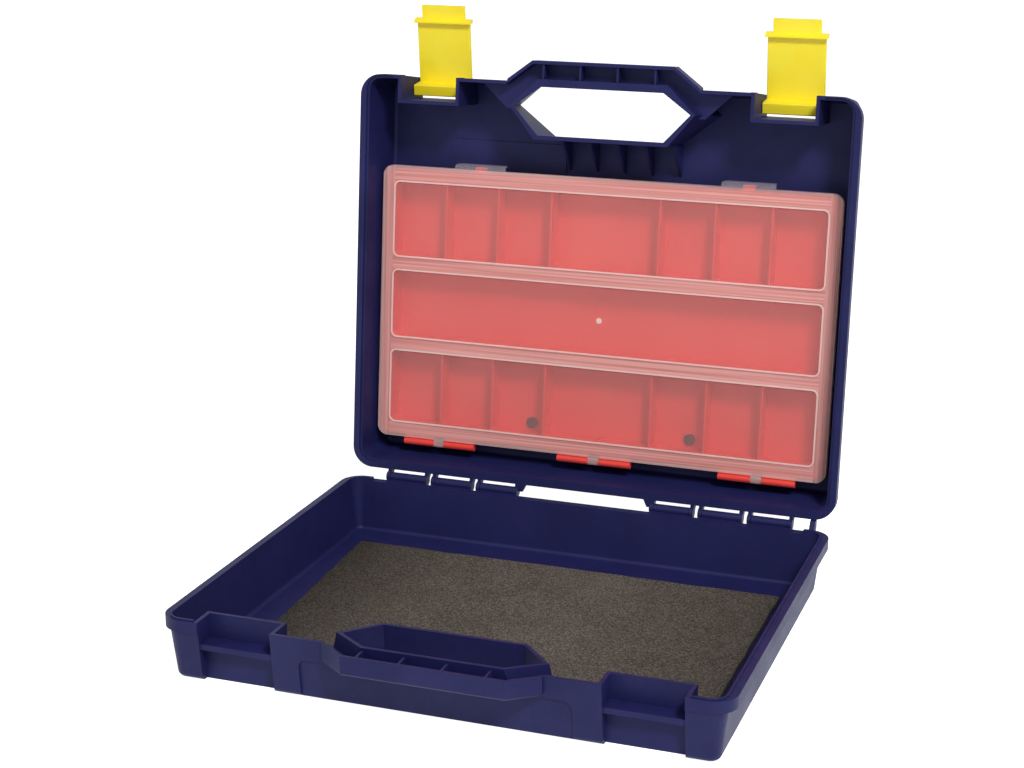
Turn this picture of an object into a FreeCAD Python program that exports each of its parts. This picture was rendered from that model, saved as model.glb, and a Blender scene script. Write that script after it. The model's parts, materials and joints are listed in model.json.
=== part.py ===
"""Hard tool case, open, with a small-parts organiser in its lid.

Two moulded half shells meet at a parting plane and turn on snap hinges along the back.
Each half has one half of the handle and a well for the fingers behind it.
The lid carries two snap latches and an organiser tray under a clear hinged cover.

Millimetres. Everything is first made with the case shut, in the case's own frame:
X to the right, Y from the front rim to the back, Z up from the underside.
Then the latches and the lid are swung open, and the origin goes to the middle of the underside.
"""
import FreeCAD
import Part
import math
import os

# Case halves
case_width = 385.0
case_depth = 308.0
base_height = 43.0
lid_height = 45.0
corner_radius = 16.0
wall = 2.6
rim_overhang = 4.0
draft_inset = 5.0
band_height = 8.0
band_skirt = 2.0
far_edge_radius = 4.5
inner_edge_radius = 3.0
parting_gap = 0.3
tongue_width = 1.4
tongue_height = 1.2
tongue_clearance = 0.4

# Front wall, flush with the rim and leaning in below it, and its shallow sunk panel
base_front_inset = 5.4
lid_front_inset = 3.0
front_panel_side_margin = 19.0
front_panel_top = 15.0
front_panel_depth = 1.5
front_panel_radius = 6.0

# Handle halves and the finger well
grip_front_half = 54.6
grip_root_half = 73.8
grip_reach = 15.6
grip_thickness = 13.4
grip_wall = 2.4
grip_rib = 1.6
grip_rib_count = 4
grip_rib_pitch = 28.7
grip_rib_shift = -3.0
grip_rib_drop = 1.5
grip_inner_wall = 3.6
grip_edge_radius = 2.4
guard_reach = 2.1
guard_front_half = 50.0
guard_side_half = 71.5
guard_rim = 3.0
shelf_front_half = 97.0
shelf_side_half = 76.4
shelf_side_y = 21.6
well_front_half = 47.0
well_side_half = 68.0
well_side_y = 18.5
well_back_half = 48.6
well_back_y = 39.5
well_front_flare = 12.0
well_side_flare = 10.0
well_side_drift = 1.5
well_back_lean = 2.9

# Corner pillars, latch recesses and the catch ledges
pillar_width = 29.5
recess_width = 52.0
lid_recess_width = 44.4
recess_depth = 18.4
ledge_drop = 17.0
ledge_thickness = 3.0
ledge_front = 3.6
ledge_lip = 0.8
recess_panel_y = 11.5

# Latches
latch_pivot_rise = 16.0
latch_pivot_y = 11.2
latch_width = 43.2
latch_thickness = 2.6
latch_front = 0.3
latch_block_rise = 4.2
latch_block_back = 4.2
latch_block_radius = 1.0
latch_hook_width = 46.0
latch_hook_height = 3.0
latch_hook_tip = 1.0
latch_hook_reach = 3.6
latch_hook_clearance = 0.6
latch_tab_width = 35.4
latch_tab_length = 10.0
latch_tab_thickness = 2.0
latch_open_angle = 79.0
trunnion_radius = 2.2
trunnion_bite = 1.7
trunnion_end_gap = 0.2
pivot_clearance = 0.05

# Case hinges
hinge_drop = 5.6
hinge_end_margin = 28.7
hinge_pitch = 37.6
hinge_sections = 3
hinge_section_gap = 3.6
hinge_ear = 3.0
hinge_ear_radius = 4.0
hinge_barrel_radius = 3.5
hinge_stud_radius = 2.0
hinge_stud_length = 4.0
hinge_side_gap = 0.3
hinge_zone_drop = 1.5
hinge_zone_margin = 8.0
ear_root = 7.0
brace_root = 6.8
brace_tip = 3.0
brace_height = 3.0
lid_open_angle = 95.6
stop_lug_width = 4.0
stop_lug_margin = 11.0
stop_lug_reach = 10.0
stop_gap = 0.4

# Lid details
gusset_count = 6
gusset_pitch = 21.7
gusset_shift = -2.0
gusset_height = 26.0
gusset_length = 22.5
gusset_thickness = 1.6
pad_height = 1.2
pad_side_margin = 60.5
pad_width = 94.0
pad_front = 48.5
pad_length = 62.0
top_panel_margin = 26.0
top_panel_depth = 1.0
top_panel_radius = 12.0

# Organiser: a row of buckets hung from a flange, behind a clear cover
organiser_side_margin = 12.1
organiser_front = 70.2
organiser_rear_margin = 22.8
organiser_depth = 20.0
organiser_radius = 8.0
cover_thickness = 1.6
cover_skirt = 1.5
cover_skirt_depth = 5.0
window_side_frame = 9.4
window_end_frame = 11.5
window_gap = 9.4
window_shares = (0.346, 0.314, 0.34)
window_radius = 5.0
window_bead_width = 1.2
window_bead_height = 0.8
gate_mark_radius = 2.2
gate_mark_height = 0.5
tray_back_gap = 1.4
tray_wall = 1.4
tray_gap = 0.4
tray_flange_inset = 2.0
tray_clearance = 0.2
tab_side_margin = 75.4
tab_shift = 4.5
tab_width = 41.0
tab_reach = 4.0
tab_radius = 2.5
tab_depth = 9.0
catch_width = 9.0
catch_clearance = 0.3

# Organiser hinge
knuckle_side_margin = 52.4
knuckle_length = 59.0
knuckle_radius = 2.8
knuckle_gap = 9.0
knuckle_offset = 3.4
cover_tongue = 8.4
cover_stud_radius = 1.3
cover_stud_length = 3.0
cover_pivot_clearance = 0.06

# Dividers, in guides along the two outer rows
divider_cells = 8
divider_thickness = 1.4
divider_top_gap = 1.2
divider_side_gap = 0.3
guide_width = 1.0
guide_reach = 1.2
guide_clearance = 0.2

# Rivets that hold the tray to the lid
rivet_place_shares = (-0.333, 0.413)
rivet_margin = 6.7
rivet_head_radius = 4.5
rivet_head_height = 1.6
rivet_shank_radius = 2.0
rivet_bite = 1.2
rivet_clearance = 0.05
boss_radius = 5.0

# Foam sheet on the floor of the base
foam_thickness = 3.0
foam_side_margin = 27.5
foam_front = 45.0
foam_back_margin = 43.0
foam_taper = 11.0

# Smallest corner radius drawn, and the one overrun that serves every cut
least_radius = 0.4
overrun = 20.0

# Places that follow from the sizes above
lid_plane = base_height + parting_gap
hinge_y = case_depth + hinge_drop
hinge_z = base_height
recess_outer = case_width / 2 - pillar_width
middle_half = recess_outer - recess_width
recess_centre = recess_outer - recess_width / 2
ledge_top = base_height - ledge_drop
lid_recess_inner = recess_centre - lid_recess_width / 2
lid_recess_outer = recess_centre + lid_recess_width / 2
latch_pivot_depth = lid_height - latch_pivot_rise
hinge_first = case_width / 2 - hinge_end_margin - hinge_sections * hinge_pitch
organiser_width = case_width - 2 * organiser_side_margin
organiser_length = case_depth - organiser_front - organiser_rear_margin
tray_bottom = lid_height - wall - tray_back_gap
tab_half_span = organiser_width / 2 - tab_side_margin
tab_centres = (tab_shift - tab_half_span, tab_shift + tab_half_span)
knuckle_centre = organiser_width / 2 - knuckle_side_margin
window_half = organiser_width / 2 - window_side_frame
window_total = organiser_length - 2 * window_end_frame - (len(window_shares) - 1) * window_gap
window_lengths = [share * window_total for share in window_shares]
window_starts = [organiser_front + window_end_frame + i * window_gap + sum(window_lengths[:i])
                 for i in range(len(window_shares))]


def vec(x, y, z):
    return FreeCAD.Vector(x, y, z)


def box(x0, x1, y0, y1, z0, z1):
    """Box between two corners."""
    return Part.makeBox(x1 - x0, y1 - y0, z1 - z0, vec(x0, y0, z0))


def rod_x(radius, x0, x1, y, z):
    """Cylinder along X."""
    return Part.makeCylinder(radius, x1 - x0, vec(x0, y, z), vec(1, 0, 0))


def rod_z(radius, x, y, z0, z1):
    """Cylinder along Z."""
    return Part.makeCylinder(radius, z1 - z0, vec(x, y, z0), vec(0, 0, 1))


def prism(points, z0, z1):
    """Polygon in plan, extruded along Z."""
    corners = [vec(x, y, z0) for x, y in points]
    face = Part.Face(Part.makePolygon(corners + corners[:1]))
    return face.extrude(vec(0, 0, z1 - z0))


def side_prism(points, x0, x1):
    """Polygon of (y, z) points, extruded along X."""
    corners = [vec(x0, y, z) for y, z in points]
    face = Part.Face(Part.makePolygon(corners + corners[:1]))
    return face.extrude(vec(x1 - x0, 0, 0))


def round_wire(x0, x1, y0, y1, radius, z):
    """Rectangle with round corners, in plan."""
    r = max(radius, least_radius)
    s = r * (1 - math.sqrt(0.5))
    mids = [(x1 - s, y0 + s), (x1 - s, y1 - s), (x0 + s, y1 - s), (x0 + s, y0 + s)]
    starts = [(x1 - r, y0), (x1, y1 - r), (x0 + r, y1), (x0, y0 + r)]
    ends = [(x1, y0 + r), (x1 - r, y1), (x0, y1 - r), (x0 + r, y0)]
    edges = []
    for i in range(4):
        before = ends[i - 1]
        edges.append(Part.LineSegment(vec(*before, z), vec(*starts[i], z)).toShape())
        edges.append(Part.Arc(vec(*starts[i], z), vec(*mids[i], z), vec(*ends[i], z)).toShape())
    return Part.Wire(edges)


def round_block(x0, x1, y0, y1, radius, z0, z1):
    """Block with round corners in plan."""
    return Part.Face(round_wire(x0, x1, y0, y1, radius, z0)).extrude(vec(0, 0, z1 - z0))


def rim_wire(inset, front, t):
    """Outline of the case at depth t: one inset at the sides and back, another at the front."""
    half = case_width / 2 - inset
    return round_wire(-half, half, front, case_depth - inset, corner_radius - inset, t)


def fuse(shapes):
    """All the shapes as one, with split faces merged."""
    first, *rest = shapes
    return first.fuse(rest).removeSplitter() if rest else first


def round_far_edges(solid, t, radius):
    """Rounds the edges that lie wholly at depth t."""
    near = wall * 0.01
    edges = [e for e in solid.Edges if all(abs(v.Z - t) < near for v in e.Vertexes)]
    return solid.makeFillet(radius, edges)


def grow(points, distance):
    """Convex outline, listed anticlockwise, with every side moved out by a distance."""
    moved = []
    for (x0, y0), (x1, y1) in zip(points, points[1:] + points[:1]):
        length = math.hypot(x1 - x0, y1 - y0)
        nx, ny = (y1 - y0) / length, (x0 - x1) / length
        moved.append((nx, ny, nx * x0 + ny * y0 + distance))
    grown = []
    for (a0, b0, c0), (a1, b1, c1) in zip(moved[-1:] + moved[:-1], moved):
        det = a0 * b1 - a1 * b0
        grown.append(((c0 * b1 - c1 * b0) / det, (a0 * c1 - a1 * c0) / det))
    return grown


def mirrored(points):
    """Right half of an outline, bottom to top, closed by its mirror image."""
    return points + [(-x, y) for x, y in reversed(points)]


def wall_inset(t, height):
    """How far the outer wall lies inside the rim at depth t."""
    return rim_overhang + draft_inset * t / height


def well_outline(t, height, front_inset):
    """Six-sided finger well at depth t; it widens downwards and its front follows the front wall."""
    share = t / height
    front = grip_inner_wall + (front_inset + wall - grip_inner_wall) * share
    lean = (well_side_half - well_front_half) / (well_side_y - grip_inner_wall)
    front_half = well_front_half + (front - grip_inner_wall) * lean + well_front_flare * share
    return mirrored([(front_half, front),
                     (well_side_half + well_side_flare * share, well_side_y + well_side_drift * share),
                     (well_back_half, well_back_y + well_back_lean * share)])


def well_solid(height, front_inset, growth):
    """The finger well through one half, grown by a wall where that is asked for."""
    wires = []
    for t in (0, height):
        points = grow(well_outline(t, height, front_inset), growth)
        corners = [vec(x, y, t) for x, y in points]
        wires.append(Part.makePolygon(corners + corners[:1]))
    return Part.makeLoft(wires, True, True)


def grip_outline():
    """Plan of one handle half, from the bar's front to its roots in the front wall."""
    root = wall
    return mirrored([(grip_front_half, -grip_reach), (grip_root_half, -wall / 2), (grip_root_half, root)])


def arm_outline():
    """Plan of the hollow in the handle, which runs on through both arms into the case."""
    lean = (grip_root_half - grip_front_half) / (grip_reach - wall / 2)
    side_half = grip_root_half + (well_side_y + wall / 2) * lean
    return grow(mirrored([(grip_front_half, -grip_reach), (side_half, well_side_y)]), -grip_wall)


def guard_solid():
    """Flat rim round the finger well of the lid, as deep as the handle half."""
    outline = [(guard_front_half, -guard_reach), (guard_side_half, well_side_y),
               (well_back_half + guard_rim, well_back_y + guard_rim)]
    return prism(mirrored(outline), 0, grip_thickness)


def shelf_solids():
    """Floors of the two arms, which end square across the arms inside the case."""
    outline = [(guard_front_half, 0), (shelf_front_half, 0), (shelf_front_half, wall),
               (shelf_side_half, shelf_side_y), (well_front_half, shelf_side_y)]
    return both_sides(prism(outline, grip_thickness - grip_wall, grip_thickness))


def grip_channel(height, front_inset, guards):
    """Hollow of one handle half, open to the parting plane, and the ribs across it."""
    hollow = prism(arm_outline(), 0, grip_thickness - grip_wall)
    for keep in guards + [well_solid(height, front_inset, wall)]:
        hollow = hollow.cut(keep)
    first = grip_rib_shift - grip_rib_pitch * (grip_rib_count - 1) / 2
    for i in range(grip_rib_count):
        x = first + i * grip_rib_pitch
        rib = box(x - grip_rib / 2, x + grip_rib / 2, -grip_reach, 0, grip_rib_drop, grip_thickness)
        hollow = hollow.cut(rib)
    return hollow


def front_panel(height, front_inset):
    """Shallow sunk panel in the front middle face, which runs out at the bottom edge."""
    half = middle_half - front_panel_side_margin
    outline = round_wire(-half, half, front_panel_top, height + front_panel_radius, front_panel_radius, 0)
    plate = Part.Face(outline).extrude(vec(0, 0, overrun))
    plate.rotate(vec(0, 0, 0), vec(1, 0, 0), 90)
    # The plate now faces the front; it is leaned back with the front wall
    plate.rotate(vec(0, 0, 0), vec(1, 0, 0), -math.degrees(math.atan2(front_inset, height)))
    plate.translate(vec(0, front_panel_depth, 0))
    return plate


def case_half(height, front_inset, recess_voids, recess_keeps, guards):
    """One moulded half. Its rim lies at Z = 0 and its far panel at Z = height."""
    floor = height - wall
    outer = Part.makeLoft([rim_wire(wall_inset(0, height), 0, 0),
                           rim_wire(wall_inset(height, height), front_inset, height)], True, True)
    outer = round_far_edges(outer, height, far_edge_radius)
    band = Part.Face(rim_wire(0, 0, 0)).extrude(vec(0, 0, band_height))
    skirt_hollow = Part.Face(rim_wire(band_skirt, band_skirt, band_skirt)).extrude(vec(0, 0, band_height))
    band = band.cut(skirt_hollow)
    band = band.cut(box(-middle_half, middle_half, -overrun, wall, -overrun, overrun))
    grip = round_far_edges(prism(grip_outline(), 0, grip_thickness), grip_thickness, grip_edge_radius)
    shell = fuse([outer, band, grip])

    near_inset = wall_inset(0, height) + wall
    far_inset = wall_inset(floor, height) + wall
    cavity = Part.makeLoft([rim_wire(near_inset, wall, 0),
                            rim_wire(far_inset, wall + front_inset * floor / height, floor)], True, True)
    cavity = round_far_edges(cavity, floor, inner_edge_radius)
    for keep in recess_keeps + shelf_solids() + guards + [well_solid(height, front_inset, wall)]:
        cavity = cavity.cut(keep)
    shell = shell.cut(cavity)
    for void in recess_voids + [well_solid(height, front_inset, 0),
                                grip_channel(height, front_inset, guards),
                                front_panel(height, front_inset)]:
        shell = shell.cut(void)
    return shell


def both_sides(solid):
    """A solid on the right and its mirror image on the left."""
    return [solid, solid.mirror(vec(0, 0, 0), vec(1, 0, 0))]


def tongue_ring(growth, height):
    """Ring along the inner edge of the rim, left out at the recesses, the well and the hinges."""
    inner = rim_overhang + wall
    ring_growth = tongue_width + growth
    ring = Part.Face(rim_wire(inner - ring_growth, wall - ring_growth, 0)).extrude(vec(0, 0, height))
    core = Part.Face(rim_wire(inner + growth, wall + growth, 0)).extrude(vec(0, 0, height))
    ring = ring.cut(core)
    ends = recess_outer + wall
    ring = ring.cut(box(-ends, ends, -overrun, case_depth / 2, -overrun, overrun))
    zone = hinge_zone_half()
    return ring.cut(box(-zone, zone, case_depth / 2, case_depth + overrun, -overrun, overrun))


def hinge_zone_half():
    """Half the length of the lowered rim along the hinges."""
    return hinge_first + hinge_sections * hinge_pitch + hinge_zone_margin


def hinge_section(index):
    """Start and end along X of one hinge section on the right."""
    start = hinge_first + index * hinge_pitch + hinge_section_gap / 2
    return start, start + hinge_pitch - hinge_section_gap


def hinge_barrels():
    """Barrels on the back of the base, each between two ears of the lid."""
    barrels = []
    for i in range(hinge_sections):
        start, end = hinge_section(i)
        x0, x1 = start + hinge_ear + hinge_side_gap, end - hinge_ear - hinge_side_gap
        barrel = rod_x(hinge_barrel_radius, x0, x1, hinge_y, hinge_z)
        web = box(x0, x1, case_depth - band_skirt, hinge_y,
                  hinge_z - hinge_barrel_radius, hinge_z - hinge_zone_drop)
        barrels += both_sides(fuse([barrel, web]).cut(
            rod_x(hinge_stud_radius + pivot_clearance, x0 - overrun, x1 + overrun, hinge_y, hinge_z)))
    return barrels


def hinge_ears():
    """Ears on the back of the lid, each with a stud that snaps into a barrel."""
    ears = []
    for i in range(hinge_sections):
        start, end = hinge_section(i)
        for x0, inward in ((start, 1), (end - hinge_ear, -1)):
            x1 = x0 + hinge_ear
            eye = rod_x(hinge_ear_radius, x0, x1, hinge_y, hinge_z)
            root = side_prism([(case_depth - band_skirt, lid_plane), (hinge_y, hinge_z - hinge_ear_radius),
                               (hinge_y + hinge_ear_radius, hinge_z), (case_depth, lid_plane + ear_root),
                               (case_depth - band_skirt, lid_plane + ear_root)], x0, x1)
            behind = box(x0 - overrun, x1 + overrun, case_depth - overrun, hinge_y + overrun, 0, lid_plane)
            clear = behind.cut(rod_x(hinge_ear_radius, x0 - overrun, x1 + overrun, hinge_y, hinge_z))
            root = root.cut(clear)
            inner = x1 if inward > 0 else x0
            far = inner + inward * (hinge_side_gap + hinge_stud_length)
            stud = rod_x(hinge_stud_radius, min(inner, far), max(inner, far), hinge_y, hinge_z)
            ears += both_sides(fuse([eye, root, stud]))
    return ears


def ear_braces():
    """Flat braces beside the two innermost ears, tapering towards the hinge axis."""
    start, _ = hinge_section(0)
    root_y = case_depth - band_skirt
    inside_ear = start + hinge_ear / 2
    outline = [(start - brace_root, root_y), (inside_ear, root_y), (inside_ear, hinge_y),
               (start - brace_tip, hinge_y)]
    return both_sides(prism(outline, lid_plane, lid_plane + brace_height))


def base_shell():
    """Lower half with its catch ledges, hinge barrels and the lug that stops the lid."""
    ledge_t = base_height - ledge_top
    under_t = ledge_t + ledge_thickness
    voids, keeps = [], []
    x0, x1 = middle_half, recess_outer
    void = fuse([box(x0, x1, -overrun, recess_depth, -overrun, ledge_t),
                 box(x0, x1, -overrun, ledge_front, 0, base_height),
                 box(x0, x1, -overrun, recess_panel_y, under_t, base_height + overrun)])
    keep = fuse([box(x0 - wall, x1 + wall, -overrun, recess_depth + wall, -overrun, under_t),
                 box(x0 - wall, x1 + wall, -overrun, recess_panel_y + wall, 0, base_height)])
    voids += both_sides(void)
    keeps += both_sides(keep)
    shell = case_half(base_height, base_front_inset, voids, keeps, [])
    lip = box(x0, x1, ledge_front, ledge_front + ledge_lip, ledge_t - ledge_lip, ledge_t + ledge_lip)
    shell = shell.mirror(vec(0, 0, 0), vec(0, 0, 1))
    shell.translate(vec(0, 0, base_height))
    lip = lip.mirror(vec(0, 0, 0), vec(0, 0, 1))
    lip.translate(vec(0, 0, base_height))
    zone = hinge_zone_half()
    inner_back = case_depth - rim_overhang - wall - tongue_width
    shell = shell.cut(box(-zone, zone, inner_back, case_depth + overrun,
                          base_height - hinge_zone_drop, base_height + overrun))
    tongue = tongue_ring(0, tongue_height)
    tongue.translate(vec(0, 0, base_height))
    lug_x = zone + stop_lug_margin - hinge_zone_margin
    lug_back = hinge_y + stop_lug_reach / 2
    open_lean = math.radians(lid_open_angle - 90)
    lug_top = hinge_z + (hinge_drop - stop_gap) / math.cos(open_lean)
    lug_top -= stop_lug_reach / 2 * math.tan(open_lean)
    lug = side_prism([(case_depth - band_skirt, base_height - band_height),
                      (lug_back, base_height - band_skirt),
                      (lug_back, lug_top), (hinge_y - stop_gap, lug_top),
                      (case_depth + stop_gap, base_height - hinge_zone_drop),
                      (case_depth - band_skirt, base_height - hinge_zone_drop)],
                     lug_x, lug_x + stop_lug_width)
    return fuse([shell, tongue, lug] + both_sides(lip) + hinge_barrels())


def lid_gussets():
    """Triangular ribs between the well's back wall and the lid's panel, clear of the raised pad."""
    panel = lid_plane + lid_height - wall
    pad_right = pad_side_margin - case_width / 2 + pad_width
    far_root = well_back_y + well_back_lean + wall / 2
    near_root = far_root - well_back_lean * gusset_height / lid_height
    first = gusset_shift - gusset_pitch * (gusset_count - 1) / 2
    gussets = []
    for i in range(gusset_count):
        x = first + i * gusset_pitch
        if x < pad_right:
            continue
        gussets.append(side_prism([(near_root, panel - gusset_height),
                                   (far_root + wall / 2 + gusset_length, panel), (far_root, panel)],
                                  x - gusset_thickness / 2, x + gusset_thickness / 2))
    return gussets


def rivet_places():
    return tuple(zip(("left", "right"), [share * window_half for share in rivet_place_shares]))


def rivet_row_y():
    """The rivets stand near the far wall of the last row."""
    return window_starts[-1] + window_lengths[-1] - rivet_margin


def lid_shell():
    """Upper half with its latch notches, hinge ears and the seats of the organiser."""
    x0, x1 = lid_recess_inner, lid_recess_outer
    voids = both_sides(box(x0, x1, -overrun, recess_depth, -overrun, lid_height + overrun))
    keeps = both_sides(box(x0 - wall, x1 + wall, -overrun, recess_depth + wall, -overrun, lid_height))
    shell = case_half(lid_height, lid_front_inset, voids, keeps, [guard_solid()])
    hole_depth = trunnion_bite + trunnion_end_gap
    pivot_hole = rod_x(trunnion_radius + pivot_clearance, x0 - hole_depth, x1 + hole_depth,
                       latch_pivot_y, latch_pivot_depth)
    rebate = tongue_ring(tongue_clearance, tongue_height + tongue_clearance)
    top_field = round_block(-case_width / 2 + top_panel_margin, case_width / 2 - top_panel_margin,
                            well_back_y + top_panel_margin, case_depth - top_panel_margin,
                            top_panel_radius, lid_height - top_panel_depth, lid_height + overrun)
    for cut in both_sides(pivot_hole) + [rebate, top_field]:
        shell = shell.cut(cut)
    shell.translate(vec(0, 0, lid_plane))
    panel = lid_plane + lid_height - wall
    pad_left = pad_side_margin - case_width / 2
    pad = round_block(pad_left, pad_left + pad_width, pad_front, pad_front + pad_length, organiser_radius / 2,
                      panel - pad_height, panel + wall / 2)
    bosses = [rod_z(boss_radius, x, rivet_row_y(), lid_plane + tray_bottom, panel + wall / 2)
              for _, x in rivet_places()]
    shell = fuse([shell, pad] + bosses + lid_gussets() + hinge_ears() + ear_braces())
    for _, x in rivet_places():
        depth = tray_bottom + rivet_depth()
        shell = shell.cut(rod_z(rivet_shank_radius + rivet_clearance, x, rivet_row_y(),
                                lid_plane + tray_bottom - overrun, lid_plane + depth))
    return shell


def rivet_depth():
    """How far a rivet's hole goes past the back of the tray."""
    return lid_height - wall - tray_bottom + rivet_bite


def latch(side):
    """Snap latch, hanging shut: block with trunnions, plate, hook and finger tab."""
    pivot_z = lid_plane + latch_pivot_depth
    x = side * recess_centre
    hook_top = pivot_z - math.sqrt((pivot_z - ledge_top + ledge_thickness) ** 2
                                   + (latch_pivot_y - ledge_front) ** 2) - latch_hook_clearance
    plate_back = latch_front + latch_thickness
    half = latch_width / 2
    hook_bottom = hook_top - latch_hook_height
    plate = round_block(x - half, x + half, latch_front, plate_back, latch_thickness / 3,
                        hook_bottom, pivot_z + latch_block_rise)
    block = box(x - half, x + half, latch_front, latch_pivot_y + latch_block_back,
                pivot_z - latch_block_rise, pivot_z + latch_block_rise)
    long_edges = [e for e in block.Edges if e.BoundBox.XLength > half]
    block = block.makeFillet(latch_block_radius, long_edges)
    hook_half = latch_hook_width / 2
    hook_front = latch_front - latch_thickness / 4
    hook_back = plate_back + latch_hook_reach
    hook_middle = hook_top - latch_hook_tip
    hook = side_prism([(hook_front, hook_bottom), (plate_back, hook_bottom), (hook_back, hook_middle),
                       (hook_back, hook_top), (latch_front, hook_top), (hook_front, hook_middle)],
                      x - hook_half, x + hook_half)
    tab_half = latch_tab_width / 2
    tab = round_block(x - tab_half, x + tab_half, latch_front, latch_front + latch_tab_thickness,
                      latch_tab_thickness / 3, hook_bottom - latch_tab_length, hook_bottom)
    axle_half = lid_recess_width / 2 + trunnion_bite
    axle = rod_x(trunnion_radius, x - axle_half, x + axle_half, latch_pivot_y, pivot_z)
    solid = fuse([plate, block, hook, tab, axle])
    solid.rotate(vec(x, latch_pivot_y, pivot_z), vec(1, 0, 0), -latch_open_angle)
    return solid


def knuckle_centres():
    return (-knuckle_centre, 0, knuckle_centre)


def organiser_axis():
    """Y and Z of the organiser's hinge."""
    y = organiser_front + organiser_length + knuckle_offset
    return y, lid_plane + organiser_depth + cover_thickness + cover_skirt / 2


def divider_xs():
    """Places of the dividers in a row: every guide but the middle one is filled."""
    pitch = 2 * window_half / divider_cells
    last = divider_cells // 2
    return [k * pitch for k in range(1 - last, last) if k]


def guide_xs():
    return divider_xs() + [0]


def divider_rows():
    """The first and last rows take dividers; the middle one is a single long bay."""
    return (("top", 0), ("bottom", len(window_starts) - 1))


def organiser_tray():
    """Three buckets under one flange, with guides, catches and half of the hinge."""
    face = lid_plane + organiser_depth + cover_thickness + tray_gap
    back = lid_plane + tray_bottom - tray_clearance / 2
    half = organiser_width / 2 - tray_flange_inset
    y0 = organiser_front + tray_flange_inset
    y1 = organiser_front + organiser_length - tray_flange_inset
    solids = [round_block(-half, half, y0, y1, organiser_radius, face, face + tray_wall)]
    bays = []
    for start, length in zip(window_starts, window_lengths):
        bay = round_block(-window_half, window_half, start, start + length, window_radius,
                          face - overrun, back - tray_wall)
        bays.append(bay)
        outer = window_half + tray_wall
        solids.append(round_block(-outer, outer, start - tray_wall, start + length + tray_wall,
                                  window_radius + tray_wall, face, back))
    solids += tray_catches(face)
    tray = fuse(solids)
    for bay in bays:
        tray = tray.cut(bay)
    tray = fuse([tray] + tray_guides(face, back) + tray_knuckles(face))
    for _, x in rivet_places():
        tray = tray.cut(rod_z(rivet_shank_radius + rivet_clearance, x, rivet_row_y(), face, back + overrun))
    return tray


def tray_guides(face, back):
    """Pairs of short ribs on both walls of the divided rows."""
    guides = []
    gap = divider_thickness / 2 + guide_clearance
    for _, row in divider_rows():
        low, high = window_starts[row], window_starts[row] + window_lengths[row]
        for x in guide_xs():
            for a, b in ((x - gap - guide_width, x - gap), (x + gap, x + gap + guide_width)):
                guides.append(box(a, b, low - tray_wall / 2, low + guide_reach,
                                  face + divider_top_gap, back - tray_wall / 2))
                guides.append(box(a, b, high - guide_reach, high + tray_wall / 2,
                                  face + divider_top_gap, back - tray_wall / 2))
    return guides


def tray_catches(face):
    """Catches on the front edge of the flange, for the cover's snap tabs."""
    catches = []
    for x in tab_centres:
        catches.append(box(x - catch_width / 2, x + catch_width / 2, organiser_front - catch_clearance,
                           organiser_front + tray_flange_inset + tray_wall,
                           face + catch_clearance, face + 2 * tray_wall))
    return catches


def tray_knuckles(face):
    """Red hinge knuckles along the far edge, each split for one tongue of the cover."""
    axis_y, axis_z = organiser_axis()
    knuckles = []
    for centre in knuckle_centres():
        for x0, x1 in ((centre - knuckle_length / 2, centre - knuckle_gap / 2),
                       (centre + knuckle_gap / 2, centre + knuckle_length / 2)):
            barrel = rod_x(knuckle_radius, x0, x1, axis_y, axis_z)
            web = box(x0, x1, axis_y - knuckle_offset - 2 * tray_flange_inset, axis_y,
                      face, face + tray_wall)
            hole = rod_x(cover_stud_radius + cover_pivot_clearance, x0 - overrun, x1 + overrun,
                         axis_y, axis_z)
            knuckles.append(fuse([barrel, web]).cut(hole))
    return knuckles


def window_beads():
    """Raised outlines round the three windows of the cover."""
    top = lid_plane + organiser_depth
    beads = []
    for start, length in zip(window_starts, window_lengths):
        outer = round_block(-window_half, window_half, start, start + length, window_radius,
                            top - window_bead_height, top + cover_thickness / 2)
        w = window_bead_width
        inner = round_block(-window_half + w, window_half - w, start + w, start + length - w,
                            window_radius - w, top - overrun, top + overrun)
        beads.append(outer.cut(inner))
    return beads


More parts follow.
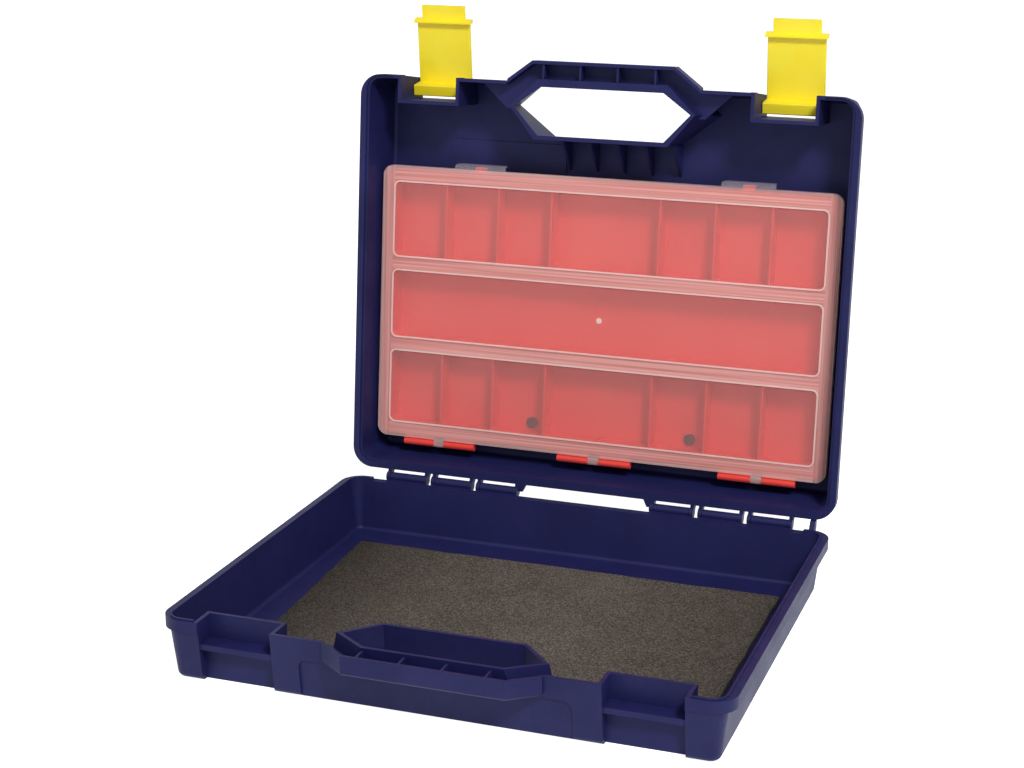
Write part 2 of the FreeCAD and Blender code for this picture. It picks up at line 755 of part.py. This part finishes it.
def organiser_cover():
    """Clear cover: plate with a skirt, window beads, snap tabs and hinge tongues."""
    top = lid_plane + organiser_depth
    half = organiser_width / 2
    y0, y1 = organiser_front, organiser_front + organiser_length
    plate = round_block(-half, half, y0, y1, organiser_radius, top, top + cover_skirt_depth)
    hollow = round_block(-half + cover_skirt, half - cover_skirt, y0 + cover_skirt, y1 - cover_skirt,
                         organiser_radius - cover_skirt, top + cover_thickness, top + overrun)
    plate = plate.cut(hollow)
    axis_y, axis_z = organiser_axis()
    # The edge beside the hinge has no skirt, so that it clears the flange as it turns
    plate = plate.cut(box(-half, half, y1 - cover_skirt - tray_gap, y1 + overrun,
                          top + cover_thickness, top + overrun))
    for x in tab_centres:
        gap = catch_width / 2 + catch_clearance
        plate = plate.cut(box(x - gap, x + gap, y0 - overrun, y0 + cover_skirt + tray_gap,
                              top + cover_thickness, top + overrun))
    middle = window_starts[1] + window_lengths[1] / 2
    mark = rod_z(gate_mark_radius, 0, middle, top - gate_mark_height, top + cover_thickness / 2)
    solids = [plate, mark] + window_beads()
    for x in tab_centres:
        roof = round_block(x - tab_width / 2, x + tab_width / 2, y0 - tab_reach, y0 + cover_skirt,
                           tab_radius, top, top + cover_thickness)
        flap = box(x - tab_width / 2 + cover_skirt, x + tab_width / 2 - cover_skirt, y0 - tab_reach,
                   y0 - tab_reach + cover_skirt, top, top + tab_depth)
        bead = box(x - catch_width / 2, x + catch_width / 2, y0 - tab_reach + cover_skirt / 2,
                   y0 - tab_reach + 2 * cover_skirt, top + tab_depth - cover_skirt, top + tab_depth)
        solids += [roof, flap, bead]
    for centre in knuckle_centres():
        x0, x1 = centre - cover_tongue / 2, centre + cover_tongue / 2
        arm = box(x0, x1, y1 - cover_skirt, axis_y, top, axis_z)
        eye = rod_x(knuckle_radius - cover_pivot_clearance, x0, x1, axis_y, axis_z)
        stud = rod_x(cover_stud_radius, x0 - cover_stud_length, x1 + cover_stud_length, axis_y, axis_z)
        solids += [arm, eye, stud]
    return fuse(solids)


def dividers():
    """Removable dividers of the first and last rows, numbered from the left."""
    face = lid_plane + organiser_depth + cover_thickness + tray_gap
    back = lid_plane + tray_bottom - tray_clearance / 2 - tray_wall
    made = {}
    for name, row in divider_rows():
        low = window_starts[row] + divider_side_gap
        high = window_starts[row] + window_lengths[row] - divider_side_gap
        for i, x in enumerate(divider_xs()):
            made[f"divider_{name}_{i + 1}"] = box(x - divider_thickness / 2, x + divider_thickness / 2,
                                                  low, high, face + divider_top_gap, back)
    return made


def rivet(x):
    """Dark push rivet: head on the tray's floor, shank in the lid's boss."""
    seat = lid_plane + tray_bottom - tray_clearance / 2 - tray_wall
    head = rod_z(rivet_head_radius, x, rivet_row_y(), seat - rivet_head_height, seat)
    tip = lid_plane + tray_bottom + rivet_depth() - rivet_clearance
    shank = rod_z(rivet_shank_radius, x, rivet_row_y(), seat, tip)
    return fuse([head, shank])


def foam_sheet():
    """Loose foam sheet, cut a little out of square on its left."""
    right = case_width / 2 - foam_side_margin
    back = case_depth - foam_back_margin
    outline = [(right, foam_front), (right, back), (-right, back), (-right + foam_taper, foam_front)]
    return prism(outline, wall, wall + foam_thickness)


def lid_parts():
    """Everything that swings with the lid, made with the case shut."""
    parts = {"lid_shell": lid_shell(), "latch_left": latch(-1), "latch_right": latch(1),
             "organiser_tray": organiser_tray(), "organiser_cover": organiser_cover()}
    parts.update(dividers())
    for side, x in rivet_places():
        parts[f"tray_rivet_{side}"] = rivet(x)
    return parts


def main():
    parts = {"base_shell": base_shell(), "foam_sheet": foam_sheet()}
    for name, solid in lid_parts().items():
        solid.rotate(vec(0, hinge_y, hinge_z), vec(1, 0, 0), -lid_open_angle)
        parts[name] = solid
    os.makedirs("parts", exist_ok=True)
    for name, solid in parts.items():
        solid.translate(vec(0, -case_depth / 2, 0))
        solid.exportStep(f"parts/{name}.step")
        print(name, "solids", len(solid.Solids), "valid", solid.isValid(), "volume", round(solid.Volume))


main()
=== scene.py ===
"""Hard tool case standing open: dark blue mouldings, yellow latches, foam sheet and a red organiser.

The construction comes from the frame: each moulding is a welded copy of its CAD node with rounded edges.
Metres, +Z up, the case's front towards -Y. The origin is the middle of the base's underside.
"""
import json
import math

import bmesh
import bpy
from mathutils import Matrix, Quaternion, Vector, noise


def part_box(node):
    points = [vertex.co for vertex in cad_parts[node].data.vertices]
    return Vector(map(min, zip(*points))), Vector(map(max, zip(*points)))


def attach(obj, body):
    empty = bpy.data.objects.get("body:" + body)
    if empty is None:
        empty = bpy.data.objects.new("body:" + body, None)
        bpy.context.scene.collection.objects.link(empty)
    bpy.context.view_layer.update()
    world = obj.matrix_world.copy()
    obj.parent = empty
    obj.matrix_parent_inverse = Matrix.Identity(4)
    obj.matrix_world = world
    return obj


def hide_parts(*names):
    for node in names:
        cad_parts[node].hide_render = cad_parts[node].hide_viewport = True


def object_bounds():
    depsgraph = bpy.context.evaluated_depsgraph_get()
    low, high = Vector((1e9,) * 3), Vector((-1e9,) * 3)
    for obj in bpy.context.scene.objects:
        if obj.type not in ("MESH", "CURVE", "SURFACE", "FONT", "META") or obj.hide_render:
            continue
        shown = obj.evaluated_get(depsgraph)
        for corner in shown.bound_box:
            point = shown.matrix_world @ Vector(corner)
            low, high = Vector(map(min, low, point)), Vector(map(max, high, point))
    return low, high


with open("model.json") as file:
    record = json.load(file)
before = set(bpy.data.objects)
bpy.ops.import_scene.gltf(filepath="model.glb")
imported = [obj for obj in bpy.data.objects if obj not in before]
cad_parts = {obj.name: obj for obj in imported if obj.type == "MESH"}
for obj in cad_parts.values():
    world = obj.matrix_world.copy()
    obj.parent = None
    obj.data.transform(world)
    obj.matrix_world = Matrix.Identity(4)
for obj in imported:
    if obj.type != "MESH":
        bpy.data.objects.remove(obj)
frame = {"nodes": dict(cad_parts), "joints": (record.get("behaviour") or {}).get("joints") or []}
cad_low, cad_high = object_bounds()

# Camera: a short telephoto a little above the rim and to the right of the handle, which is how
# the case was photographed. Its place and turn were solved from the corners of both halves.
camera_place = Vector((0.4249, -1.1980, 0.5496))
camera_azimuth = math.radians(19.59)
camera_pitch = math.radians(16.27)
camera_roll = math.radians(0.17)
camera_lens = 69.28
camera_sensor = 36.0
camera_nearest = 0.05
camera_farthest = 100.0

forward = Vector((
    -math.sin(camera_azimuth) * math.cos(camera_pitch),
    math.cos(camera_azimuth) * math.cos(camera_pitch),
    -math.sin(camera_pitch),
))
camera_data = bpy.data.cameras.new("camera")
camera_data.lens = camera_lens
camera_data.sensor_width = camera_sensor
camera_data.clip_start = camera_nearest
camera_data.clip_end = camera_farthest
camera = bpy.data.objects.new("camera", camera_data)
camera.location = camera_place
camera.rotation_mode = "QUATERNION"
camera.rotation_quaternion = forward.to_track_quat("-Z", "Y") @ Quaternion((0, 0, 1), camera_roll)
bpy.context.scene.collection.objects.link(camera)
bpy.context.scene.camera = camera


# Shells: two polypropylene mouldings in dark blue with a fine spark texture and light scuffs. Their edges
# are rounded and rubbed paler and shinier. The base's tongue ends a little sooner than in the frame, so
# that its end faces clear the lid's rebate when the case is shut.
shell_blue = (0.0095, 0.0108, 0.0680)
shell_scuffed_blue = (0.0180, 0.0195, 0.1020)
shell_rubbed_blue = (0.0200, 0.0220, 0.0920)
shell_pale_blue = (0.0380, 0.0410, 0.1350)
shell_roughness = 0.52
shell_rubbed_roughness = 0.46
shell_specular = 0.21
shell_edge = 0.0005
shell_grain = 0.0006
tongue_ends = (0.1656, 0.1718)
tongue_root = 0.0431
tongue_relief = 0.0003

# What all the mouldings share: how they are welded and rounded, and how their plastic wears
weld_distance = 0.00001
closeness = 0.0001
smooth_angle = math.radians(35)
large_face_weight = 100
decimetre = 0.1
patch_detail = 6.0
patch_roughness = 0.6
scuff_turn = (0.3, 0.5, 0.7)
scuff_stretch = (420.0, 16.0, 60.0)
scuff_detail = 4.0
scuff_start, scuff_full = 0.64, 0.72
wear_start, wear_full = 0.35, 0.80
gloss_start, gloss_full = 0.3, 0.8
duller, shinier = 0.06, 0.08
grain_detail = 3.0
grain_height_share = 0.4


def welded_copy(node_name):
    """A node's mesh as one welded solid, as a new object."""
    mesh = frame["nodes"][node_name].data.copy()
    mesh.name = node_name + "_moulding"
    mesh.materials.clear()
    bm = bmesh.new()
    bm.from_mesh(mesh)
    bmesh.ops.remove_doubles(bm, verts=bm.verts, dist=weld_distance)
    bm.to_mesh(mesh)
    bm.free()
    made = bpy.data.objects.new(node_name + "_moulding", mesh)
    bpy.context.scene.collection.objects.link(made)
    return made


def round_edges(piece, width, segments=2, edge_material=-1):
    """Small rounding of all sharp edges; large faces keep their own flat shading."""
    for face in piece.data.polygons:
        face.use_smooth = True
    piece.data.set_sharp_from_angle(angle=smooth_angle)
    bevel = piece.modifiers.new("rounded edges", "BEVEL")
    bevel.width = width
    bevel.segments = segments
    bevel.limit_method = "ANGLE"
    bevel.angle_limit = smooth_angle
    bevel.miter_outer = "MITER_ARC"
    bevel.material = edge_material
    shading = piece.modifiers.new("even shading", "WEIGHTED_NORMAL")
    shading.mode = "FACE_AREA"
    shading.weight = large_face_weight
    shading.keep_sharp = False
    return piece


def new_material(name):
    """A material with its node tree and its shader."""
    material = bpy.data.materials.new(name)
    material.use_nodes = True
    return material, material.node_tree, material.node_tree.nodes["Principled BSDF"]


def set_values(node, values):
    """Sets the sockets of a node."""
    for socket, value in values.items():
        node.inputs[socket].default_value = value


def add_node(tree, kind, values, sources, **settings):
    """A shader node with its settings, its own values and what is linked into it."""
    node = tree.nodes.new("ShaderNode" + kind)
    for setting, value in settings.items():
        setattr(node, setting, value)
    set_values(node, values)
    for socket, source in sources.items():
        tree.links.new(source, node.inputs[socket])
    return node


def noise_field(tree, place, scale, detail, roughness=0.5):
    """Cloudy pattern between 0 and 1."""
    values = {"Scale": scale, "Detail": detail, "Roughness": roughness}
    return add_node(tree, "TexNoise", values, {"Vector": place}).outputs["Fac"]


def ranged(tree, value, start, full, low, high):
    """A level that goes from low to high while a value goes from start to full."""
    values = {"From Min": start, "From Max": full, "To Min": low, "To Max": high}
    return add_node(tree, "MapRange", values, {"Value": value}).outputs["Result"]


def ramp(tree, value, stops):
    """Colour that runs through the stops, each a place and a colour, as a value rises."""
    node = add_node(tree, "ValToRGB", {}, {"Fac": value})
    first, *middle, last = stops
    for element, (place, colour) in zip(node.color_ramp.elements, (first, last)):
        element.position = place
        element.color = (*colour, 1)
    for place, colour in middle:
        node.color_ramp.elements.new(place).color = (*colour, 1)
    return node.outputs["Color"]


def bumps(tree, height, strength, distance):
    """Normals roughened by a pattern."""
    values = {"Strength": strength, "Distance": distance}
    return add_node(tree, "Bump", values, {"Height": height}).outputs["Normal"]


def plastic(name, colour, worn_colour, roughness, specular, grain, depth, patches=3.0, scuffs=0.0):
    """Moulded plastic: patchy colour and gloss, long faint scuffs and a fine grain."""
    material, tree, shader = new_material(name)
    set_values(shader, {"Specular IOR Level": specular})
    place = add_node(tree, "TexCoord", {}, {}).outputs["Object"]
    cloud = noise_field(tree, place, patches / decimetre, patch_detail, patch_roughness)
    turned = add_node(tree, "Mapping", {"Rotation": scuff_turn, "Scale": scuff_stretch}, {"Vector": place})
    streaks = noise_field(tree, turned.outputs["Vector"], 1.0, scuff_detail)
    scratch = ranged(tree, streaks, scuff_start, scuff_full, 0.0, scuffs)
    wear = add_node(tree, "Math", {}, {0: cloud, 1: scratch}).outputs["Value"]
    tint = ramp(tree, wear, ((wear_start, colour), (wear_full, worn_colour)))
    gloss = ranged(tree, wear, gloss_start, gloss_full, roughness + duller, roughness - shinier)
    speckle = noise_field(tree, place, 1.0 / grain, grain_detail)
    tree.links.new(tint, shader.inputs["Base Color"])
    tree.links.new(gloss, shader.inputs["Roughness"])
    tree.links.new(bumps(tree, speckle, depth, grain * grain_height_share), shader.inputs["Normal"])
    return material


shell_plastic = plastic("dark blue moulded plastic", shell_blue, shell_scuffed_blue, shell_roughness,
                        shell_specular, shell_grain, depth=0.22, patches=2.0, scuffs=0.12)
shell_rubbed = plastic("dark blue plastic rubbed at its edges", shell_rubbed_blue, shell_pale_blue,
                       shell_rubbed_roughness, shell_specular, shell_grain,
                       depth=0.12, patches=4.0, scuffs=0.2)
for node_name, body in (("base_shell", "base"), ("lid_shell", "lid")):
    moulding = welded_copy(node_name)
    for vertex in moulding.data.vertices:
        off_end = min(abs(abs(vertex.co.x) - end) for end in tongue_ends)
        if body == "base" and vertex.co.z > tongue_root and off_end < closeness:
            vertex.co.x += math.copysign(tongue_relief, vertex.co.x)
    shell = round_edges(moulding, shell_edge, edge_material=1)
    shell.data.materials.append(shell_plastic)
    shell.data.materials.append(shell_rubbed)
    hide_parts(node_name)
    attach(shell, body)


# Latches: two glossy yellow snaps, each moulded in one piece with its trunnions, and pressed into the
# side walls of the lid's notches. Their colour is a little patchy.
latch_yellow = (0.99, 0.77, 0.013)
latch_pale_yellow = (1.00, 0.87, 0.045)
latch_roughness = 0.36
latch_specular = 0.4
latch_grain = 0.0008
latch_edge = 0.0004

latch_plastic = plastic("yellow moulded plastic", latch_yellow, latch_pale_yellow, latch_roughness,
                        latch_specular, latch_grain, depth=0.08, patches=2.0)
for side in ("left", "right"):
    snap = round_edges(welded_copy("latch_" + side), latch_edge)
    snap.data.materials.append(latch_plastic)
    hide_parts("latch_" + side)
    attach(snap, "latch_" + side)


# Organiser tray: red buckets under one flange, with loose dividers in its guides, all of the same soft
# glossy plastic. Its two catches reach further under the cover's tabs than in the frame.
tray_red = (0.82, 0.050, 0.040)
tray_pale_red = (0.88, 0.080, 0.060)
tray_roughness = 0.42
tray_specular = 0.35
tray_grain = 0.006
tray_edge = 0.00025
catch_front = -0.0839
catch_nose = Vector((0, 0.0018, 0))
divider_rows = ("top", "bottom")
dividers_in_row = 6

# Turn that brings a point of the open lid to its place with the case shut
lid_hinge = next(joint for joint in frame["joints"] if joint["name"] == "lid_hinge")
shut_turn = (Matrix.Translation(lid_hinge["pos_m"])
             @ Matrix.Rotation(math.radians(lid_hinge["range_deg"][1]), 4, "X")
             @ Matrix.Translation([-value for value in lid_hinge["pos_m"]]))

tray_plastic = plastic("red moulded plastic", tray_red, tray_pale_red, tray_roughness, tray_specular,
                       tray_grain, depth=0.03, patches=2.0)
divider_names = [f"divider_{row}_{i + 1}" for row in divider_rows for i in range(dividers_in_row)]
for node_name in ["organiser_tray"] + divider_names:
    moulding = welded_copy(node_name)
    for vertex in moulding.data.vertices:
        shut_place = shut_turn @ vertex.co
        if node_name == "organiser_tray" and shut_place.y < catch_front:
            vertex.co = shut_turn.inverted() @ (shut_place - catch_nose)
    red_part = round_edges(moulding, tray_edge)
    red_part.data.materials.append(tray_plastic)
    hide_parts(node_name)
    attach(red_part, "lid")


# Rivets: two dark push rivets with domed heads, which hold the tray to the lid's bosses.
# They are of a dull black plastic.
rivet_black = (0.008, 0.008, 0.012)
rivet_pale_black = (0.016, 0.016, 0.020)
rivet_roughness = 0.4
rivet_specular = 0.4
rivet_grain = 0.0006
rivet_dome = 0.0007
rivet_dome_steps = 3

rivet_plastic = plastic("black moulded plastic", rivet_black, rivet_pale_black, rivet_roughness,
                        rivet_specular, rivet_grain, depth=0.1)
for side in ("left", "right"):
    pin = round_edges(welded_copy("tray_rivet_" + side), rivet_dome, rivet_dome_steps)
    pin.data.materials.append(rivet_plastic)
    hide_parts("tray_rivet_" + side)
    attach(pin, "lid")


# Organiser cover: frosted see-through plastic, milky over its frame and clearer in the three windows,
# which raised beads outline. It snaps over the tray's front edge and turns on studs along the far one.
# Faint lines of painted highlight and shade, which stand in for small moulded steps, run along the bars of
# its frame, and the frame's milkiness changes along them.
cover_edge = 0.0002
cover_milky = (0.90, 0.56, 0.52)
cover_clear = (0.88, 0.44, 0.43)
cover_bead = (0.95, 0.72, 0.68)
cover_tab = (0.62, 0.55, 0.60)
cover_milky_alpha = 0.50
cover_clear_alpha = 0.24
cover_bead_alpha = 0.80
cover_tab_alpha = 0.18
cover_inside_alpha = 0.08
cover_milky_roughness = 0.32
cover_clear_roughness = 0.38
cover_bead_roughness = 0.25
cover_tab_roughness = 0.3
cover_inside_roughness = 0.4
cover_specular = 0.35
cover_grain = 0.012
cover_paler = 1.05
cover_near = -0.0838
cover_far = 0.1312
cover_half = 0.1804
cover_face = 0.0633
cover_thickness = 0.0016
facing = 0.9
window_side_frame = 0.0094
window_end_frame = 0.0115
window_gap = 0.0094
window_shares = (0.346, 0.314, 0.34)
window_bead_width = 0.0012
window_half = cover_half - window_side_frame
window_total = cover_far - cover_near - 2 * window_end_frame - 2 * window_gap
streak_pitch = 0.0019
streak_stretch = (4, 40, 1 / streak_pitch)
streak_detail = 2.0
streak_start, streak_full = 0.36, 0.62
# Painted shade and painted highlight: how much darker and paler than the frame's colour the lines are
streak_shade_level, streak_highlight_level = 0.90, 1.08
streak_clearer, streak_milkier = 0.08, 0.10
in_frame, in_window, in_bead, in_inside, in_tab = range(5)


def frosted(name, colour, alpha, roughness):
    """Milky plastic that lets a share of what lies behind it show."""
    paler = tuple(min(1, c * cover_paler) for c in colour)
    material = plastic(name, colour, paler, roughness, cover_specular, cover_grain, depth=0.03, patches=2.0)
    set_values(material.node_tree.nodes["Principled BSDF"], {"Alpha": alpha})
    material.surface_render_method = "BLENDED"
    return material


def add_streaks(material, colour, alpha):
    """Draws lines that run along each bar of the frame: painted highlight and shade in the colour, standing
    in for small moulded steps, and changes in milkiness.
    """
    tree = material.node_tree
    place = tree.nodes["Texture Coordinate"].outputs["Object"]
    lines = []
    for stretch in (streak_stretch, streak_stretch[::-1]):
        stretched = add_node(tree, "Mapping", {"Scale": stretch}, {"Vector": place})
        lines.append(noise_field(tree, stretched.outputs["Vector"], 1.0, streak_detail))
    across = add_node(tree, "SeparateXYZ", {}, {"Vector": place}).outputs["X"]
    off_middle = add_node(tree, "Math", {}, {0: across}, operation="ABSOLUTE").outputs["Value"]
    at_side = add_node(tree, "Math", {1: window_half}, {0: off_middle}, operation="GREATER_THAN")
    line = add_node(tree, "Mix", {}, {"Factor": at_side.outputs["Value"], "A": lines[0], "B": lines[1]})
    level = line.outputs["Result"]
    # Painted shade and painted highlight along the bars, standing in for small moulded steps
    streak_shade_colour = tuple(c * streak_shade_level for c in colour)
    streak_highlight_colour = tuple(min(1, c * streak_highlight_level) for c in colour)
    tint = ramp(tree, level, ((streak_start, streak_shade_colour), (streak_full, streak_highlight_colour)))
    milk = ranged(tree, level, streak_start, streak_full, alpha - streak_clearer, alpha + streak_milkier)
    shader = tree.nodes["Principled BSDF"]
    tree.links.new(tint, shader.inputs["Base Color"])
    tree.links.new(milk, shader.inputs["Alpha"])


def cover_region(place, normal):
    """Material number of a face of the cover, from its place with the case shut."""
    if place.y < cover_near - 2 * closeness:
        return in_tab
    if normal.z > facing and place.z > cover_face + cover_thickness * 0.5:
        return in_inside if abs(place.x) < cover_half - window_side_frame / 2 else in_frame
    start = cover_near + window_end_frame
    for share in window_shares:
        end = start + share * window_total
        outside = max(abs(place.x) - window_half, start - place.y, place.y - end)
        if outside < closeness and place.z < cover_face + closeness:
            flat = abs(place.z - cover_face) < closeness and normal.z < -facing
            return in_window if flat and outside < closeness - window_bead_width else in_bead
        start = end + window_gap
    return in_frame


cover = welded_copy("organiser_cover")
for material_name, colour, alpha, roughness in (
        ("frosted cover frame", cover_milky, cover_milky_alpha, cover_milky_roughness),
        ("frosted cover window", cover_clear, cover_clear_alpha, cover_clear_roughness),
        ("frosted cover bead", cover_bead, cover_bead_alpha, cover_bead_roughness),
        ("frosted cover inside", cover_milky, cover_inside_alpha, cover_inside_roughness),
        ("frosted cover tab", cover_tab, cover_tab_alpha, cover_tab_roughness)):
    cover.data.materials.append(frosted(material_name, colour, alpha, roughness))
add_streaks(cover.data.materials[in_frame], cover_milky, cover_milky_alpha)
turn_only = shut_turn.to_3x3()
for face in cover.data.polygons:
    face.material_index = cover_region(shut_turn @ face.center, turn_only @ face.normal)
round_edges(cover, cover_edge)
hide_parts("organiser_cover")
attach(cover, "organiser_cover")


# Foam sheet: grey-brown open-cell foam, cut by hand a little out of square and laid loose in the base.
# Its cut edges waver, its top shows the cells and swells a little, and its sides are darkened with painted
# shade, most at the left, where the walls shade it.
foam_dark = (0.045, 0.039, 0.031)
foam_middle = (0.105, 0.091, 0.075)
foam_pale = (0.230, 0.208, 0.180)
foam_stops = ((0.36, foam_dark), (0.50, foam_middle), (0.68, foam_pale))
# Painted shade: how much of the foam's colour is kept at each share of its width, darker towards the sides,
# where the walls shade it
foam_painted_shade = ((0.0, 0.38), (0.25, 0.85), (0.62, 1.0), (1.0, 0.68))
foam_roughness = 0.95
foam_specular = 0.15
foam_grain = 0.0012
foam_grain_detail = 2.5
foam_grain_roughness = 0.7
foam_cloud = 0.03
foam_cloud_detail = 2.0
foam_cloud_start, foam_cloud_full = 0.3, 0.7
foam_cloud_shift = 0.02
foam_bump_strength = 0.7
foam_bump_height = 0.0006
foam_low, foam_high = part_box("foam_sheet")
foam_taper = 0.011
foam_spacing = 0.0015
foam_cell = 0.0019
foam_pit = 0.0004
foam_swell = 0.0004
foam_swell_span = 0.07
foam_waver = 0.0009
foam_lift = 0.0001
unit_half = 0.5

# Waves along each cut edge and the seed that sets them
left_waves, right_waves = (14, 3), (11, 8)
front_waves, back_waves = (13, 5), (12, 7)

foam_mesh = bpy.data.meshes.new("foam_sheet_cut")
foam_span = foam_high - foam_low


def waver(across, along, waves):
    """How far a cut edge of the foam wanders at a place along it."""
    count, seed = waves
    return foam_waver * (1 + noise.noise((across * count, along * count, seed)))


bm = bmesh.new()
bmesh.ops.create_grid(bm, x_segments=round(foam_span.x / foam_spacing),
                      y_segments=round(foam_span.y / foam_spacing), size=unit_half)
for vertex in bm.verts:
    across, along = vertex.co.x + unit_half, vertex.co.y + unit_half
    left = foam_low.x + foam_taper * (1 - along) + waver(0, along, left_waves)
    right = foam_high.x - waver(0, along, right_waves)
    front, back = waver(across, 0, front_waves), waver(across, 0, back_waves)
    x = left + across * (right - left)
    y = foam_low.y + along * foam_span.y + front * (1 - along) - back * along
    pits = abs(noise.noise(Vector((x, y, 0)) / foam_cell)) * foam_pit
    swell = noise.noise(Vector((x, y, 0)) / foam_swell_span) * foam_swell
    vertex.co = (x, y, foam_high.z - pits + swell)
rim = [edge for edge in bm.edges if edge.is_boundary]
skirt = bmesh.ops.extrude_edge_only(bm, edges=rim)["geom"]
for item in skirt:
    if isinstance(item, bmesh.types.BMVert):
        item.co.z = foam_low.z + foam_lift
lower_rim = [item for item in skirt if isinstance(item, bmesh.types.BMEdge) and item.is_boundary]
bmesh.ops.contextual_create(bm, geom=lower_rim)
bmesh.ops.recalc_face_normals(bm, faces=bm.faces)
bm.to_mesh(foam_mesh)
bm.free()
foam = bpy.data.objects.new("foam_sheet_cut", foam_mesh)
bpy.context.scene.collection.objects.link(foam)

foam_material, tree, shader = new_material("open-cell foam")
set_values(shader, {"Roughness": foam_roughness, "Specular IOR Level": foam_specular})
foam_place = add_node(tree, "TexCoord", {}, {}).outputs["Object"]
cells = noise_field(tree, foam_place, 1 / foam_grain, foam_grain_detail, foam_grain_roughness)
cloud = noise_field(tree, foam_place, 1 / foam_cloud, foam_cloud_detail)
shift = ranged(tree, cloud, foam_cloud_start, foam_cloud_full, -foam_cloud_shift, foam_cloud_shift)
level = add_node(tree, "Math", {}, {0: cells, 1: shift}).outputs["Value"]
# Painted shade: the foam's colour is darkened towards its left and right sides
across = add_node(tree, "SeparateXYZ", {}, {"Vector": foam_place}).outputs["X"]
side_share = ranged(tree, across, foam_low.x, foam_high.x, 0.0, 1.0)
painted_side_shade = ramp(tree, side_share, [(share, (shade,) * 3) for share, shade in foam_painted_shade])
foam_colour_with_painted_shade = add_node(tree, "Mix", {"Factor": 1.0}, {"A": ramp(tree, level, foam_stops), "B": painted_side_shade},
                  data_type="RGBA", blend_type="MULTIPLY").outputs["Result"]
tree.links.new(foam_colour_with_painted_shade, shader.inputs["Base Color"])
tree.links.new(bumps(tree, cells, foam_bump_strength, foam_bump_height), shader.inputs["Normal"])
foam_mesh.materials.append(foam_material)
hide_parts("foam_sheet")
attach(foam, "foam")


# Studio: a white floor that runs out of sight and a white world. Both are white to the camera and in
# reflections, and the floor keeps the case's shadow. The world lights the case more from the sides than
# from above, and the key light stands to the front right, high up.
floor_size = 40.0
floor_drop = 0.0002
floor_colour = (0.88, 0.88, 0.89)
floor_roughness = 0.9
floor_glow = 0.9
white = (1, 1, 1, 1)
world_horizon = 0.43
world_zenith = 0.16
key_place = Vector((1.6, -1.9, 2.7))
key_target = Vector((0, 0, 0.15))
key_size = 0.6
key_power = 92.0
fill_place = Vector((-1.8, -1.6, 1.2))
fill_target = Vector((0, 0, 0.1))
fill_size = 1.6
fill_power = 5.0

floor_mesh = bpy.data.meshes.new("studio_floor")
bm = bmesh.new()
bmesh.ops.create_grid(bm, x_segments=1, y_segments=1, size=floor_size / 2)
bmesh.ops.translate(bm, verts=bm.verts, vec=(0, 0, cad_low.z - floor_drop))
bm.to_mesh(floor_mesh)
bm.free()
floor = bpy.data.objects.new("studio_floor", floor_mesh)
bpy.context.scene.collection.objects.link(floor)


def seen_directly(tree):
    """1 for camera, glossy and transmission rays, and 0 for the rays that light the object."""
    path = add_node(tree, "LightPath", {}, {})
    result = path.outputs["Is Camera Ray"]
    for ray in ("Is Glossy Ray", "Is Transmission Ray"):
        sources = {0: result, 1: path.outputs[ray]}
        result = add_node(tree, "Math", {}, sources, operation="MAXIMUM").outputs["Value"]
    return result


floor_white, tree, shader = new_material("white floor")
set_values(shader, {"Base Color": (*floor_colour, 1), "Roughness": floor_roughness,
                    "Specular IOR Level": 0.0, "Emission Color": white})
glow = ranged(tree, seen_directly(tree), 0.0, 1.0, 0.0, floor_glow)
tree.links.new(glow, shader.inputs["Emission Strength"])
floor_mesh.materials.append(floor_white)

world = bpy.data.worlds.new("studio")
world.use_nodes = True
bpy.context.scene.world = world
tree = world.node_tree
background = tree.nodes["Background"]
set_values(background, {"Color": white})
toward = add_node(tree, "TexCoord", {}, {}).outputs["Normal"]
downward = add_node(tree, "SeparateXYZ", {}, {"Vector": toward}).outputs["Z"]
dome = ranged(tree, downward, -1.0, 0.0, world_zenith, world_horizon)
sky = add_node(tree, "MapRange", {"To Max": 1.0}, {"Value": seen_directly(tree), "To Min": dome})
tree.links.new(sky.outputs["Result"], background.inputs["Strength"])


def lamp(name, place, target, size, power):
    """Square soft light turned to a point."""
    data = bpy.data.lights.new(name, "AREA")
    data.size = size
    data.energy = power
    light = bpy.data.objects.new(name, data)
    light.location = place
    light.rotation_mode = "QUATERNION"
    light.rotation_quaternion = (target - place).to_track_quat("-Z", "Y")
    bpy.context.scene.collection.objects.link(light)


lamp("key", key_place, key_target, key_size, key_power)
lamp("fill", fill_place, fill_target, fill_size, fill_power)

bpy.context.scene.view_settings.view_transform = "Standard"
